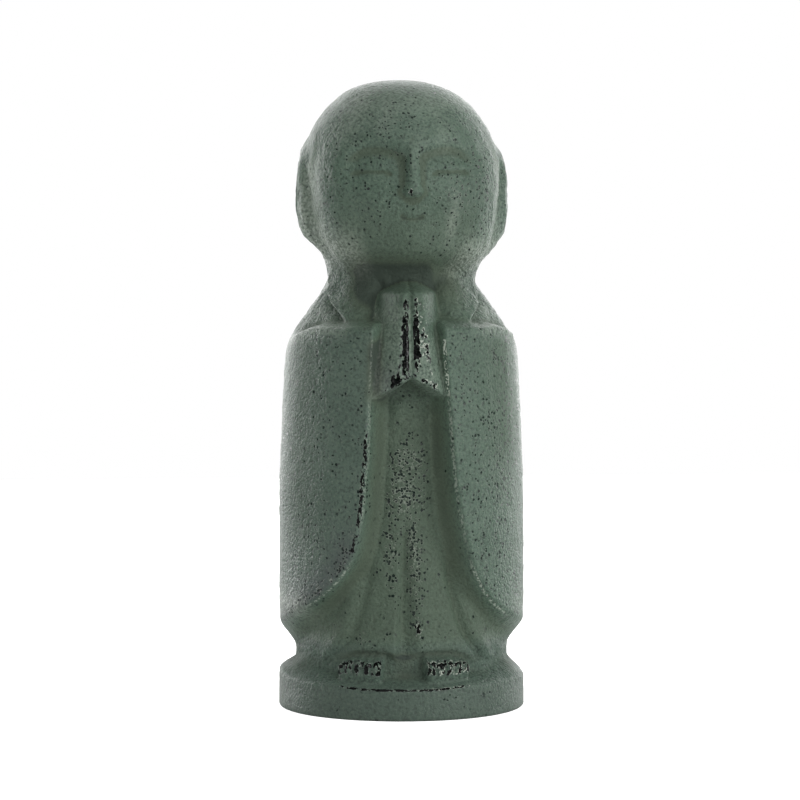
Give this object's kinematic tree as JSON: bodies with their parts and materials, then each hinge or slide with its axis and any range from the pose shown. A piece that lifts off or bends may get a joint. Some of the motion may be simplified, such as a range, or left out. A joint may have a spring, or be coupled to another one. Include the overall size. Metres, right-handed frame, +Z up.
{
  "type": "cast iron jizo statue",
  "caption": "Small cast iron jizo figure with a round bald head, long ears, hands pressed together, wide hanging sleeves and a round flat foot.",
  "frame": {"origin": "centre of the flat round underside, on the surface the statue stands on", "axes": "+Z up through the crown of the head, -Y towards the front the face looks to, +X towards the figure's left hand"},
  "size_m": [0.0473, 0.0474, 0.12],
  "materials": {
    "green_iron": "satin green lacquer over glossy black, worn through to black specks on raised edges, on sand-cast grain"
  },
  "bodies": {
    "root": {"jizo_statue": "green_iron"}
  },
  "joints": []
}
